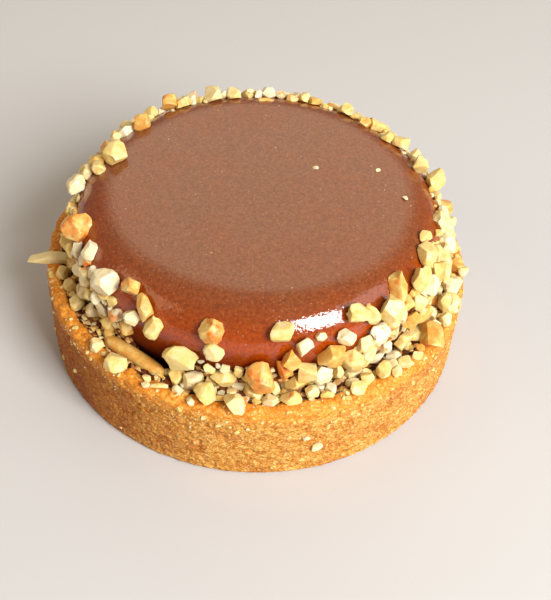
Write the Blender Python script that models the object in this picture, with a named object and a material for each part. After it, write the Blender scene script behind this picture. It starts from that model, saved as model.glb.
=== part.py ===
"""An individual tart: a straight-sided shortcrust shell, its filling, a glazed dome and chopped nuts.

Run it with blender --background --python part.py, or from the text editor.
The origin is at the middle of the flat base. Sizes are in metres, and +Z is up.
Azimuths are in degrees round +Z: 0 is the tart's right, 270 its front.
"""

import math
import random

import bmesh
import bpy
import numpy as np
from mathutils import Euler, Matrix, Vector, noise
from mathutils.bvhtree import BVHTree

MM = 0.001

# Shell, baked in an 80 mm ring
CRUST_RADIUS = 40.0 * MM
CRUST_HEIGHT = 17.4 * MM
WALL_THICKNESS = 3.1 * MM
FLOOR_THICKNESS = 3.0 * MM
BASE_ROUNDING = 0.8 * MM
RIM_ROUNDING = 1.2 * MM
WALL_RELIEF = 0.22 * MM
RIM_RELIEF = 0.35 * MM
RELIEF_SPACING = 5.0 * MM

# Filling, poured to just under the rim
FILLING_DROP = 2.1 * MM
FILLING_ROUNDING = 0.5 * MM

# Glazed dome, a flat pebble form
DOME_RADIUS = 34.0 * MM
DOME_FOOT_RADIUS = 31.6 * MM
DOME_TOP = 32.9 * MM
DOME_CROWN = 0.4 * MM
SHOULDER_WIDTH = 9.2 * MM
SHOULDER_HEIGHT = 8.0 * MM
SHOULDER_POWER = 2.15

# Gap kept between solids that touch
GAP = 0.3 * MM

# Garland of chopped nuts
CORE_GAP = 0.33 * MM
CORE_THICKNESS = 1.1 * MM
CORE_LUMPS = 17
CORE_LUMPINESS = 0.7
CORE_MARGIN = 1.5 * MM
CORE_FOOT = 2.4 * MM
CORE_ON_RIM = 1.7 * MM
NUT_GAP = 0.42 * MM
NUT_SEED = 1
THROWS_PER_SIZE = 150
SCATTER_SIZES = (5.4 * MM, 4.6 * MM, 3.8 * MM, 3.2 * MM)
BED_START = 1.2 * MM
STRAY_SINK = 0.5 * MM
SEATING_STEPS = 30
SEATING_ACCURACY = 0.02 * MM
# How much larger than a nut the room is that it keeps clear of the other nuts
NUT_ROOM = 1.05
# Sizes tried, as shares, until a nut has room
NUT_SHRINKS = (1.0, 0.92, 0.85, 0.78, 0.7, 0.62)
# Shortest edge of a chopped nut, as a share of its size
NUT_DETAIL = 0.14

# How far up the bed the garland reaches at some azimuths, in millimetres
GARLAND_TOP = (
    (0, 20), (20, 21), (35, 21.5), (60, 22.5), (90, 23), (112, 23), (135, 22), (150, 22),
    (167, 22.5), (176, 20.5), (186, 18), (204, 19.5), (212, 19), (226, 18), (232, 16), (236, 7),
    (246, 11), (253, 14), (276, 14), (286, 16), (300, 16.5), (308, 18.5), (320, 20), (340, 21), (360, 20),
)

# A shape is its length, width and thickness as shares of its size, and its number of chops
SHAPES = {
    "chunk": ((1.0, 0.88, 0.78), 4),
    "wedge": ((1.0, 0.80, 0.62), 3),
    "slice": ((1.0, 0.76, 0.36), 3),
    "sliver": ((1.0, 0.27, 0.22), 2),
    "baton": ((1.0, 0.31, 0.27), 1),
    "round": ((1.0, 0.96, 0.66), 1),
}
SCATTER_SHAPES = ("chunk", "chunk", "wedge", "slice")

# The garland's tiers, as distances up the bed in millimetres: on the rim, over the groove, up the
# dome's side, on its shoulder and at the garland's upper edge
TIERS = {"rim": 1, "groove": 4, "side": 12, "shoulder": 17, "edge": 20}

# The largest pieces, which give the garland its look, from the front round to the right, the back
# and the left: azimuth, tier, size in millimetres, shape, and the turn of the long side in
# degrees, 0 along the rim and 90 up the dome. All the others are thrown by a rule.
STANDOUT_NUTS = (
    (235, "groove", 14, "baton", 0), (190, "rim", 9, "sliver", 80), (250, "side", 7, "slice", 30),
    (275, "side", 6, "chunk", 90), (285, "side", 6, "sliver", 90), (300, "side", 6, "wedge", 90),
    (260, "rim", 5, "chunk", 90), (270, "rim", 5, "wedge", 90), (325, "rim", 6, "wedge", 30),
    (340, "rim", 5, "wedge", 30), (320, "side", 6, "slice", 150), (320, "edge", 6, "wedge", 60),
    (340, "edge", 5, "wedge", 30), (355, "shoulder", 6, "wedge", 0), (15, "edge", 6, "chunk", 150),
    (35, "edge", 5, "wedge", 150), (110, "edge", 5, "chunk", 120), (130, "edge", 5, "chunk", 90),
    (165, "edge", 6, "wedge", 30), (180, "shoulder", 5, "chunk", 30), (200, "edge", 6, "chunk", 150),
    (225, "edge", 6, "chunk", 120),
)

# Pieces that lie on the glaze clear of the garland, in the same form
STRAY_NUTS = (
    (240, "edge", 4, "wedge", 90), (235, "shoulder", 3, "chunk", 90), (245, "shoulder", 4, "chunk", 90),
    (260, "edge", 5, "round", 90), (262, "shoulder", 3, "round", 30), (280, "edge", 5, "wedge", 0),
    (290, "edge", 3, "chunk", 90), (298, "edge", 4, "wedge", 150), (306, "edge", 4, "chunk", 150),
)

# Mesh steps round the axis
CRUST_SEGMENTS = 64
FILLING_SEGMENTS = 48
DOME_SEGMENTS = 56
CORE_SEGMENTS = 56
CORE_STEPS = 5

# Colours in linear light
CRUST_COLOUR = (0.61, 0.30, 0.09)
FILLING_COLOUR = (0.11, 0.045, 0.018)
GLAZE_COLOUR = (0.26, 0.062, 0.018)
NUT_COLOUR = (0.80, 0.62, 0.34)


def clear_scene():
    """Removes every object of the startup scene."""
    for thing in list(bpy.data.objects):
        bpy.data.objects.remove(thing)


def material(name, colour, roughness):
    """A Principled BSDF with one colour."""
    made = bpy.data.materials.new(name)
    made.use_nodes = True
    shader = made.node_tree.nodes["Principled BSDF"]
    shader.inputs["Base Color"].default_value = (*colour, 1.0)
    shader.inputs["Roughness"].default_value = roughness
    shader.inputs["Metallic"].default_value = 0.0
    return made


def new_object(name, bm, finishes, collection=None):
    """Turns a bmesh into a linked object, its faces pointing out and in the last of its materials."""
    bmesh.ops.recalc_face_normals(bm, faces=bm.faces)
    for face in bm.faces:
        face.material_index = len(finishes) - 1
    mesh = bpy.data.meshes.new(name)
    bm.to_mesh(mesh)
    bm.free()
    for finish in finishes:
        mesh.materials.append(finish)
    made = bpy.data.objects.new(name, mesh)
    (collection or bpy.context.scene.collection).objects.link(made)
    return made


def arc(centre, radii, start, end, steps, power=2.0):
    """Points on a superellipse arc in the (radius, height) plane, angles in degrees."""
    points = []
    for step in range(steps + 1):
        angle = math.radians(start + (end - start) * step / steps)
        across, along = math.cos(angle), math.sin(angle)
        points.append((
            centre[0] + radii[0] * math.copysign(abs(across) ** (2 / power), across),
            centre[1] + radii[1] * math.copysign(abs(along) ** (2 / power), along),
        ))
    return points


def crust_profile():
    """Half section of the shell, from the middle of its base round to the middle of its floor."""
    inner_radius = CRUST_RADIUS - WALL_THICKNESS
    wall_low, wall_high = BASE_ROUNDING, CRUST_HEIGHT - RIM_ROUNDING
    wall_steps = 5
    wall = [
        (CRUST_RADIUS, wall_low + (wall_high - wall_low) * step / wall_steps)
        for step in range(1, wall_steps)
    ]
    return (
        [(0.0, 0.0)]
        + arc((CRUST_RADIUS - BASE_ROUNDING, BASE_ROUNDING), (BASE_ROUNDING,) * 2, -90, 0, 2)
        + wall
        + arc((CRUST_RADIUS - RIM_ROUNDING, wall_high), (RIM_ROUNDING,) * 2, 0, 90, 3)
        + arc((inner_radius + RIM_ROUNDING, wall_high), (RIM_ROUNDING,) * 2, 90, 180, 3)
        + [(inner_radius, FLOOR_THICKNESS), (0.0, FLOOR_THICKNESS)]
    )


def filling_profile():
    """Half section of the filling, a plain disc with a softened top edge."""
    radius = CRUST_RADIUS - WALL_THICKNESS - GAP
    top = CRUST_HEIGHT - FILLING_DROP
    low = FLOOR_THICKNESS + GAP
    edge = arc((radius - FILLING_ROUNDING, top - FILLING_ROUNDING), (FILLING_ROUNDING,) * 2, 0, 90, 2)
    return [(0.0, low), (radius, low), *edge, (0.0, top)]


def dome_side():
    """The dome's outer line from its foot up over the shoulder to the edge of its flat top."""
    foot = CRUST_HEIGHT - FILLING_DROP + GAP
    shoulder_centre = DOME_TOP - DOME_CROWN - SHOULDER_HEIGHT
    tuck = DOME_RADIUS - DOME_FOOT_RADIUS
    lower = arc((DOME_FOOT_RADIUS, shoulder_centre), (tuck, shoulder_centre - foot), -90, 0, 4)
    upper = arc(
        (DOME_RADIUS - SHOULDER_WIDTH, shoulder_centre),
        (SHOULDER_WIDTH, SHOULDER_HEIGHT), 0, 90, 7, SHOULDER_POWER,
    )
    return lower + upper[1:]


def dome_profile():
    """Half section of the dome, with its slightly crowned top."""
    side = dome_side()
    flat_radius, flat_height = side[-1]
    crown = [
        (flat_radius * share, flat_height + DOME_CROWN * (1 - share * share))
        for share in (0.5, 0.0)
    ]
    return [(0.0, side[0][1])] + side + crown


def turned(name, profile, segments, finish, relief=None):
    """Turns a half section round +Z into a closed solid. Its first and last points are on the axis.

    relief(radius, height, azimuth) moves a point by the (radius, height) step that it returns.
    """
    bm = bmesh.new()
    poles = [bm.verts.new((0.0, 0.0, profile[end][1])) for end in (0, -1)]
    rings = []
    for radius, height in profile[1:-1]:
        ring = []
        for step in range(segments):
            azimuth = math.tau * step / segments
            out, up = relief(radius, height, azimuth) if relief else (0.0, 0.0)
            reach = radius + out
            ring.append(bm.verts.new((
                reach * math.cos(azimuth), reach * math.sin(azimuth), height + up,
            )))
        rings.append(ring)
    for step in range(segments):
        after = (step + 1) % segments
        bm.faces.new((poles[0], rings[0][after], rings[0][step]))
        bm.faces.new((poles[1], rings[-1][step], rings[-1][after]))
        for low, high in zip(rings, rings[1:]):
            bm.faces.new((low[step], low[after], high[after], high[step]))
    made = new_object(name, bm, [finish])
    made.data.shade_smooth()
    made.data.set_sharp_from_angle(angle=math.radians(50))
    return made


def crust_relief(radius, height, azimuth):
    """Baked unevenness: a wavy outer wall, and a rim that dips here and there."""
    inner_radius = CRUST_RADIUS - WALL_THICKNESS
    if radius <= inner_radius + RIM_ROUNDING / 2 or height < BASE_ROUNDING / 2:
        return 0.0, 0.0
    place = Vector((radius * math.cos(azimuth), radius * math.sin(azimuth), height))
    wave = noise.noise(place / RELIEF_SPACING)
    on_wall = radius > CRUST_RADIUS - RIM_ROUNDING / 2
    out = WALL_RELIEF * wave if on_wall else 0.0
    dip = RIM_RELIEF * (0.5 + 0.5 * noise.noise(place / (2 * RELIEF_SPACING)))
    up = -dip if height > CRUST_HEIGHT - RIM_ROUNDING else 0.0
    return out, up


def path_lengths(points):
    """Distance along a line of points, from its first point to each."""
    lengths = [0.0]
    for before, after in zip(points, points[1:]):
        lengths.append(lengths[-1] + math.dist(before, after))
    return lengths


def bed_line():
    """What the nuts lie on, in half section: in over the rim, across the groove, up the dome."""
    inner_radius = CRUST_RADIUS - WALL_THICKNESS
    groove_level = CRUST_HEIGHT - FILLING_DROP / 2
    rim = [(CRUST_RADIUS - RIM_ROUNDING / 2, CRUST_HEIGHT), (inner_radius + RIM_ROUNDING / 2, CRUST_HEIGHT)]
    groove = [(inner_radius - RIM_ROUNDING / 2, groove_level), (DOME_FOOT_RADIUS + RIM_ROUNDING, groove_level)]
    above_groove = [point for point in dome_side() if point[1] > groove_level + RIM_ROUNDING / 2]
    return rim + groove + above_groove


BED = bed_line()
BED_LENGTHS = path_lengths(BED)


def bed_point(up):
    """(radius, height) and outward normal of the bed, a distance up from the rim's outer edge."""
    reach = 1.2 * MM
    ends = []
    for distance in (up - reach, up, up + reach):
        ends.append(Vector((
            np.interp(distance, BED_LENGTHS, [point[0] for point in BED]),
            np.interp(distance, BED_LENGTHS, [point[1] for point in BED]),
        )))
    along = (ends[2] - ends[0]).normalized()
    return ends[1], Vector((along.y, -along.x))


def solid_outline():
    """The outer line of shell, filling and dome together, as rows of segment ends."""
    inner_radius = CRUST_RADIUS - WALL_THICKNESS
    rim = [point for point in crust_profile() if point[1] > BASE_ROUNDING and point[0] > inner_radius - GAP]
    level = CRUST_HEIGHT - FILLING_DROP
    line = [point for point in rim if point[1] > level or point[0] > inner_radius + GAP]
    line += [(inner_radius, level), (DOME_FOOT_RADIUS, level)] + dome_profile()[1:]
    return np.array(line)


OUTLINE = solid_outline()


def is_inside(section):
    """Whether points of the (radius, height) plane lie in the solids, by counting crossings."""
    low, high = OUTLINE[:-1], OUTLINE[1:]
    across, up = section[:, None, 0], section[:, None, 1]
    spans = (low[:, 1] > up) != (high[:, 1] > up)
    rise = np.where(high[:, 1] == low[:, 1], 1.0, high[:, 1] - low[:, 1])
    crossing = low[:, 0] + (high[:, 0] - low[:, 0]) * (up - low[:, 1]) / rise
    return (spans & (across < crossing)).sum(axis=1) % 2 == 1


def clearance(points):
    """Each point's signed distance from the solids below, negative inside, and its way out."""
    reach = np.hypot(points[:, 0], points[:, 1])
    section = np.stack([reach, points[:, 2]], axis=1)
    starts, steps = OUTLINE[:-1], np.diff(OUTLINE, axis=0)
    offsets = section[:, None] - starts[None]
    share = np.clip((offsets * steps).sum(axis=2) / (steps * steps).sum(axis=1), 0, 1)
    away = offsets - share[..., None] * steps
    distances = np.hypot(away[..., 0], away[..., 1])
    nearest = distances.argmin(axis=1)
    rows = np.arange(len(section))
    signed = np.where(is_inside(section), -1.0, 1.0) * distances[rows, nearest]
    out = away[rows, nearest] / signed[:, None]
    ways = np.stack([out[:, 0] * points[:, 0] / reach, out[:, 0] * points[:, 1] / reach, out[:, 1]], axis=1)
    return signed, ways


def garland_top(azimuth):
    """How far up the bed the garland reaches at an azimuth in degrees."""
    azimuths, tops = zip(*GARLAND_TOP)
    return float(np.interp(azimuth % 360, azimuths, tops)) * MM


def unit_vector(rng):
    """A direction drawn evenly over the sphere."""
    height = rng.uniform(-1, 1)
    azimuth = rng.uniform(0, math.tau)
    reach = math.sqrt(1 - height * height)
    return Vector((reach * math.cos(azimuth), reach * math.sin(azimuth), height))


def chops(rng, count):
    """The flat cuts that chop a nut of size 1: each a direction and a distance from its middle."""
    return [(unit_vector(rng), rng.uniform(0.14, 0.34)) for _ in range(count)]


def chopped_nut(cuts, proportions, rng, subdivisions=1):
    """A rounded kernel of size 1, chopped flat on some sides, as a convex bmesh."""
    kernel = bmesh.new()
    bmesh.ops.create_icosphere(kernel, subdivisions=subdivisions, radius=0.5)
    kernel.transform(Matrix.Rotation(rng.uniform(0, math.tau), 4, unit_vector(rng)))
    for direction, distance in cuts:
        everything = kernel.verts[:] + kernel.edges[:] + kernel.faces[:]
        bmesh.ops.bisect_plane(
            kernel, geom=everything, plane_co=direction * distance, plane_no=direction, clear_outer=True,
        )
    bmesh.ops.remove_doubles(kernel, verts=kernel.verts, dist=NUT_DETAIL)
    points = np.array([vert.co for vert in kernel.verts])
    kernel.free()
    low, high = points.min(axis=0), points.max(axis=0)
    points = (points - (low + high) / 2) / (high - low) * np.array(proportions)
    bm = bmesh.new()
    for point in points:
        bm.verts.new(point)
    hull = bmesh.ops.convex_hull(bm, input=bm.verts)
    bmesh.ops.delete(bm, geom=hull["geom_interior"], context="VERTS")
    return bm


def nut_turn(azimuth, normal, turn, rng):
    """Turns a nut from its own axes: x along the rim, z away from the bed, with some tilt."""
    angle = math.radians(azimuth)
    radial = Vector((math.cos(angle), math.sin(angle), 0.0))
    outward = radial * normal.x + Vector((0.0, 0.0, normal.y))
    along = Vector((-math.sin(angle), math.cos(angle), 0.0))
    axes = Matrix((along, outward.cross(along), outward)).transposed()
    tilt = Euler((math.radians(rng.uniform(-14, 14)), math.radians(rng.uniform(-14, 14)), math.radians(turn)))
    return axes.to_4x4() @ tilt.to_matrix().to_4x4(), outward


def surface_points(bm):
    """Points spread over a nut: its corners, points along its edges and its faces' middles."""
    points = [vert.co for vert in bm.verts]
    points += [edge.verts[0].co.lerp(edge.verts[1].co, share) for edge in bm.edges for share in (0.25, 0.5, 0.75)]
    points += [face.calc_center_median() for face in bm.faces]
    return np.array(points)


def seated_nut(row, rng, lift):
    """A chopped nut in its place on the bed, resting lift above the solids."""
    azimuth, up, size, shape, turn = row
    proportions, chop_count = SHAPES[shape]
    bm = chopped_nut(chops(rng, chop_count), proportions, rng)
    place, normal = bed_point(up * MM)
    turned_axes, outward = nut_turn(azimuth, normal, turn, rng)
    angle = math.radians(azimuth)
    bm.transform(turned_axes @ Matrix.Scale(size * MM, 4))
    points = surface_points(bm)
    outward = np.array(outward)
    centre = np.array((place.x * math.cos(angle), place.x * math.sin(angle), place.y))
    centre += outward * size * MM * proportions[2] / 2
    free_way = np.array((math.cos(angle), math.sin(angle), 1.0)) / math.sqrt(2)
    for step in range(2 * SEATING_STEPS):
        signed, ways = clearance(points + centre)
        lowest = signed.argmin()
        missing = lift - signed[lowest]
        if abs(missing) < SEATING_ACCURACY:
            break
        if missing > 0:
            centre += (ways[lowest] if step < SEATING_STEPS else free_way) * missing
        elif step < SEATING_STEPS:
            centre += outward * missing
    bm.transform(Matrix.Translation(centre))
    return bm


def room_of(bm):
    """The space that a nut keeps to itself: its form grown a little, as a search tree."""
    points = [vert.co.copy() for vert in bm.verts]
    middle = sum(points, Vector()) / len(points)
    grown = [middle + (point - middle) * NUT_ROOM for point in points]
    faces = [[vert.index for vert in face.verts] for face in bm.faces]
    return middle, max((point - middle).length for point in grown), BVHTree.FromPolygons(grown, faces)


def has_room(room, taken):
    """Whether a nut's space meets none of those taken."""
    middle, reach, tree = room
    for other_middle, other_reach, other_tree in taken:
        apart = (middle - other_middle).length
        if apart < (reach + other_reach) / 3 or (apart < reach + other_reach and tree.overlap(other_tree)):
            return False
    return True


def place_nut(row, seed, shrinks, lift, taken):
    """Seats a nut at the largest of some sizes that has room. Returns None where none has."""
    azimuth, up, size, shape, turn = row
    for shrink in shrinks:
        bm = seated_nut((azimuth, up, size * shrink, shape, turn), random.Random(seed), lift)
        bm.verts.index_update()
        room = room_of(bm)
        if has_room(room, taken):
            taken.append(room)
            return bm
        bm.free()
    return None


def garland_nuts(taken):
    """Every nut of the garland: those that stand out, then a scatter from large to small."""
    nuts = [
        place_nut((azimuth, TIERS[tier], *rest), seed, NUT_SHRINKS, NUT_GAP, taken)
        for seed, (azimuth, tier, *rest) in enumerate(STANDOUT_NUTS)
    ]
    rng = random.Random(NUT_SEED)
    for size in SCATTER_SIZES:
        for _ in range(THROWS_PER_SIZE):
            azimuth = rng.uniform(0, 360)
            row = (
                azimuth, rng.uniform(BED_START, garland_top(azimuth)) / MM,
                size * rng.uniform(0.9, 1.1) / MM, rng.choice(SCATTER_SHAPES), rng.uniform(0, 180),
            )
            nuts.append(place_nut(row, rng.random(), NUT_SHRINKS[:1], NUT_GAP, taken))
    return nuts


def garland_core(name, finish):
    """The bank that the nuts hide: it lies on the rim, fills the groove and thins out up the dome."""
    rim_outer = CRUST_RADIUS - CORE_ON_RIM
    rim_level = CRUST_HEIGHT + CORE_GAP
    groove_outer = CRUST_RADIUS - WALL_THICKNESS - CORE_GAP
    groove_level = CRUST_HEIGHT - FILLING_DROP + CORE_GAP
    side = dome_side()
    lengths = path_lengths(side)
    side_start = BED_LENGTHS[-1] - lengths[-1]
    bm = bmesh.new()
    rings = []
    for segment in range(CORE_SEGMENTS):
        azimuth = math.tau * segment / CORE_SEGMENTS
        reach = garland_top(math.degrees(azimuth)) - CORE_MARGIN - side_start
        inner, outer = [], []
        for step in range(CORE_STEPS + 1):
            distance = CORE_FOOT + max(reach - CORE_FOOT, CORE_THICKNESS) * step / CORE_STEPS
            place, ahead = (
                Vector([np.interp(at, lengths, [point[axis] for point in side]) for axis in (0, 1)])
                for at in (distance, distance + CORE_THICKNESS)
            )
            along = (ahead - place).normalized()
            normal = Vector((along.y, -along.x))
            lump = noise.noise(Vector((azimuth * CORE_LUMPS, distance / CORE_THICKNESS, 0.0)))
            inner.append(place + normal * CORE_GAP)
            outer.append(place + normal * (CORE_GAP + CORE_THICKNESS * (1 + CORE_LUMPINESS * lump)))
        section = outer + inner[::-1] + [
            Vector((inner[0].x, groove_level)),
            Vector((groove_outer, groove_level)),
            Vector((groove_outer, rim_level)),
            Vector((rim_outer, rim_level)),
            Vector((rim_outer - CORE_THICKNESS / 2, rim_level + CORE_THICKNESS)),
        ]
        rings.append([
            bm.verts.new((point.x * math.cos(azimuth), point.x * math.sin(azimuth), point.y))
            for point in section
        ])
    for ring, after in zip(rings, rings[1:] + rings[:1]):
        for low in range(len(ring)):
            high = (low + 1) % len(ring)
            bm.faces.new((ring[low], ring[high], after[high], after[low]))
    return new_object(name, bm, [finish])


def keep_main_body(mesh):
    """Keeps the largest closed body: loose scraps are dropped, and sealed hollows are filled."""
    bm = bmesh.new()
    bm.from_mesh(mesh)
    left = set(bm.verts)
    bodies = []
    while left:
        body, edge = set(), [left.pop()]
        while edge:
            vert = edge.pop()
            body.add(vert)
            near = {link.other_vert(vert) for link in vert.link_edges} & left
            left -= near
            edge.extend(near)
        bodies.append(body)
    main = max(bodies, key=len)
    bmesh.ops.delete(bm, geom=[vert for vert in bm.verts if vert not in main], context="VERTS")
    bm.to_mesh(mesh)
    bm.free()


def fuse(target, solids, finishes):
    """Joins some solids to target with one Boolean union, and removes them."""
    collection = bpy.data.collections.new("loose")
    bpy.context.scene.collection.children.link(collection)
    for index, bm in enumerate(solid for solid in solids if solid):
        new_object(f"loose_{index:03d}", bm, finishes, collection)
    union = target.modifiers.new("fuse", "BOOLEAN")
    union.operation = "UNION"
    union.operand_type = "COLLECTION"
    union.collection = collection
    union.solver = "EXACT"
    graph = bpy.context.evaluated_depsgraph_get()
    fused = bpy.data.meshes.new_from_object(target.evaluated_get(graph))
    fused.name = target.name
    target.modifiers.clear()
    target.data = fused
    keep_main_body(fused)
    for thing in list(collection.objects):
        bpy.data.objects.remove(thing)
    bpy.data.collections.remove(collection)


def build():
    """Builds the tart's four solids under one empty."""
    clear_scene()
    pastry = material("baked_shortcrust", CRUST_COLOUR, 0.75)
    caramel = material("dark_caramel_filling", FILLING_COLOUR, 0.45)
    glaze = material("caramel_glaze", GLAZE_COLOUR, 0.15)
    nut = material("chopped_nut", NUT_COLOUR, 0.6)

    crust = turned("crust", crust_profile(), CRUST_SEGMENTS, pastry, crust_relief)
    filling = turned("filling", filling_profile(), FILLING_SEGMENTS, caramel)

    dome = turned("glazed_dome", dome_profile(), DOME_SEGMENTS, glaze)
    dome.data.materials.append(nut)
    taken = []
    strays = [
        place_nut((azimuth, TIERS[tier], *rest), 500 + index, NUT_SHRINKS, -STRAY_SINK, taken)
        for index, (azimuth, tier, *rest) in enumerate(STRAY_NUTS)
    ]
    fuse(dome, strays, [glaze, nut])

    garland = garland_core("nut_garland", nut)
    fuse(garland, garland_nuts(taken), [nut])

    tart = bpy.data.objects.new("tart", None)
    bpy.context.scene.collection.objects.link(tart)
    for piece in (crust, filling, dome, garland):
        piece.parent = tart


build()
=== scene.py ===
# %% [markdown]
# # A tart with a glazed dome and a garland of chopped nuts
#
# This is an individual tart: a straight-sided shortcrust shell, a layer of dark
# caramel filling, a flat dome under a mirror glaze, and chopped almonds and
# hazelnuts pressed round the dome's foot while the glaze was still tacky.
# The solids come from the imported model. Each cell below dresses one of them.

import math
import random

import bmesh
import bpy
import numpy as np
from mathutils import Euler, Matrix, Vector, noise


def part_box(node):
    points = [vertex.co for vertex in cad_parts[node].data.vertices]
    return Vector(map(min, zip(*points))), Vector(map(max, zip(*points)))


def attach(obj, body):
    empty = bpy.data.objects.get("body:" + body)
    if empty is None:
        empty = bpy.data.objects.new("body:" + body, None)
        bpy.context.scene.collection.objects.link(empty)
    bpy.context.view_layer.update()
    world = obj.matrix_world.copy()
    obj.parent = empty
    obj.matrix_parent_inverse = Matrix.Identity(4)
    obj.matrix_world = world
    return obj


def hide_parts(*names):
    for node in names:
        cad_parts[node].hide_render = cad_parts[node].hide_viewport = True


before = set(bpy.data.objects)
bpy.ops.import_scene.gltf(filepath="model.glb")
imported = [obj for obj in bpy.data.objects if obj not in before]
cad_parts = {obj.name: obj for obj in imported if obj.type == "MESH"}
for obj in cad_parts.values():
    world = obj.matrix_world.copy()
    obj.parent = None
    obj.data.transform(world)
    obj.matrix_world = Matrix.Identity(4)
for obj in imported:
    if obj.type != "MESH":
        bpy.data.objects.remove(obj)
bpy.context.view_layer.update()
MM = 0.001
print("nodes:", sorted(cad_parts))

# %% [markdown]
# ## Two helpers for materials and node trees
#
# Colours are picked from the photo as sRGB hex values, but a shader works with
# linear light, so one function turns the first into the second. Node trees,
# for materials and for geometry alike, are lists of nodes with values and
# links, so one function adds a node with both.

# %% Helpers for colours and nodes
def linear(hex_colour):
    """An sRGB hex colour as linear red, green, blue and alpha."""
    values = [int(hex_colour[place:place + 2], 16) / 255 for place in (1, 3, 5)]
    return (*(v / 12.92 if v <= 0.04045 else ((v + 0.055) / 1.055) ** 2.4 for v in values), 1.0)


def fill(node, sockets):
    """Gives each socket named a value, or a link from an output or from a node's first output."""
    for key, value in sockets.items():
        if isinstance(value, bpy.types.Node):
            value = value.outputs[0]
        if isinstance(value, bpy.types.NodeSocket):
            node.id_data.links.new(value, node.inputs[key])
        else:
            node.inputs[key].default_value = value
    return node


def add(tree, kind, sockets=None, stops=(), **settings):
    """Adds a node with its settings and sockets, and stops of (position, hex colour) for a ramp."""
    made = tree.nodes.new(kind)
    for name, value in settings.items():
        setattr(made, name, value)
    if stops:
        elements = made.color_ramp.elements
        while len(elements) < len(stops):
            elements.new(0.5)
        for element, (position, colour) in zip(elements, stops):
            element.position = position
            element.color = linear(colour)
    return fill(made, sockets or {})


def new_material(name):
    """A material with its tree, its Principled shader, and coordinates in mm of the tart."""
    made = bpy.data.materials.new(name)
    made.use_nodes = True
    tree = made.node_tree
    place = add(tree, "ShaderNodeTexCoord").outputs["Object"]
    in_mm = add(tree, "ShaderNodeVectorMath", {0: place, 1: (1 / MM,) * 3}, operation="MULTIPLY")
    return made, tree, tree.nodes["Principled BSDF"], in_mm


print("mid brown #8a4a2a in linear light:", [round(value, 3) for value in linear("#8a4a2a")])

# %% [markdown]
# ## Turned bodies
#
# The shell, the filling and the dome were all shaped in a ring, so each is a
# half section turned round the upright axis. Blender could do this with a Spin
# or a Screw modifier. Here numpy lays out the whole grid of points at once,
# which is quick enough for the fine grids that a crumb texture needs.

# %% A turned body from its half section
def in_scene(name, data):
    """An object of a mesh, a lamp or a camera, put in the scene."""
    made = bpy.data.objects.new(name, data)
    bpy.context.scene.collection.objects.link(made)
    return made


def turned(name, profile, segments):
    """Turns a half section, given from its lower pole to its upper one, into a closed mesh."""
    profile = np.array(profile)
    rings = profile[1:-1]
    angles = np.arange(segments) * math.tau / segments
    grid = np.stack([
        rings[:, :1] * np.cos(angles), rings[:, :1] * np.sin(angles),
        np.repeat(rings[:, 1:], segments, axis=1),
    ], axis=-1)
    points = np.concatenate([grid.reshape(-1, 3), [[0, 0, profile[0][1]], [0, 0, profile[-1][1]]]])
    index = np.arange(len(rings) * segments).reshape(len(rings), segments)
    after = np.roll(index, -1, axis=1)
    quads = np.stack([index[:-1], after[:-1], after[1:], index[1:]], axis=-1).reshape(-1, 4)
    low, high = len(points) - 2, len(points) - 1
    faces = quads.tolist()
    faces += [(low, int(b), int(a)) for a, b in zip(index[0], after[0])]
    faces += [(high, int(a), int(b)) for a, b in zip(index[-1], after[-1])]
    mesh = bpy.data.meshes.new(name)
    mesh.from_pydata(points.tolist(), [], faces)
    mesh.shade_smooth()
    return in_scene(name, mesh)


def arc(centre, radii, start, end, steps, power=2.0):
    """Points of a superellipse arc in the (radius, height) plane, with angles in degrees."""
    points = []
    for step in range(steps + 1):
        angle = math.radians(start + (end - start) * step / steps)
        across, along = math.cos(angle), math.sin(angle)
        points.append((
            centre[0] + radii[0] * math.copysign(abs(across) ** (2 / power), across),
            centre[1] + radii[1] * math.copysign(abs(along) ** (2 / power), along),
        ))
    return points


def line(start, end, steps):
    """Evenly spaced points from start, left out, to end."""
    start, end = np.array(start), np.array(end)
    return [tuple(start + (end - start) * step / steps) for step in range(1, steps + 1)]


def grow(piece, tree, values):
    """Runs a Geometry Nodes tree with values for its named inputs, and keeps the mesh it makes."""
    modifier = piece.modifiers.new(tree.name, "NODES")
    modifier.node_group = tree
    for item in tree.interface.items_tree:
        if item.item_type == "SOCKET" and item.in_out == "INPUT" and item.name in values:
            modifier[item.identifier] = values[item.name]
    graph = bpy.context.evaluated_depsgraph_get()
    mesh = bpy.data.meshes.new_from_object(piece.evaluated_get(graph))
    piece.modifiers.remove(modifier)
    piece.data = mesh
    mesh.name = piece.name
    return piece


def geometry_tree(name, sizes):
    """A Geometry Nodes tree with an input for each name in sizes, a dict of names to socket kinds."""
    tree = bpy.data.node_groups.new(name, "GeometryNodeTree")
    tree.interface.new_socket("Geometry", in_out="INPUT", socket_type="NodeSocketGeometry")
    for title, kind in sizes.items():
        tree.interface.new_socket(title, in_out="INPUT", socket_type=f"NodeSocket{kind}")
    tree.interface.new_socket("Geometry", in_out="OUTPUT", socket_type="NodeSocketGeometry")
    return tree, add(tree, "NodeGroupInput").outputs


def end_tree(tree, geometry, material):
    """Ends a Geometry Nodes tree with real meshes in one material."""
    real = add(tree, "GeometryNodeRealizeInstances", {0: geometry})
    dressed = add(tree, "GeometryNodeSetMaterial", {"Geometry": real, "Material": material})
    add(tree, "NodeGroupOutput", {0: dressed})
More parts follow.
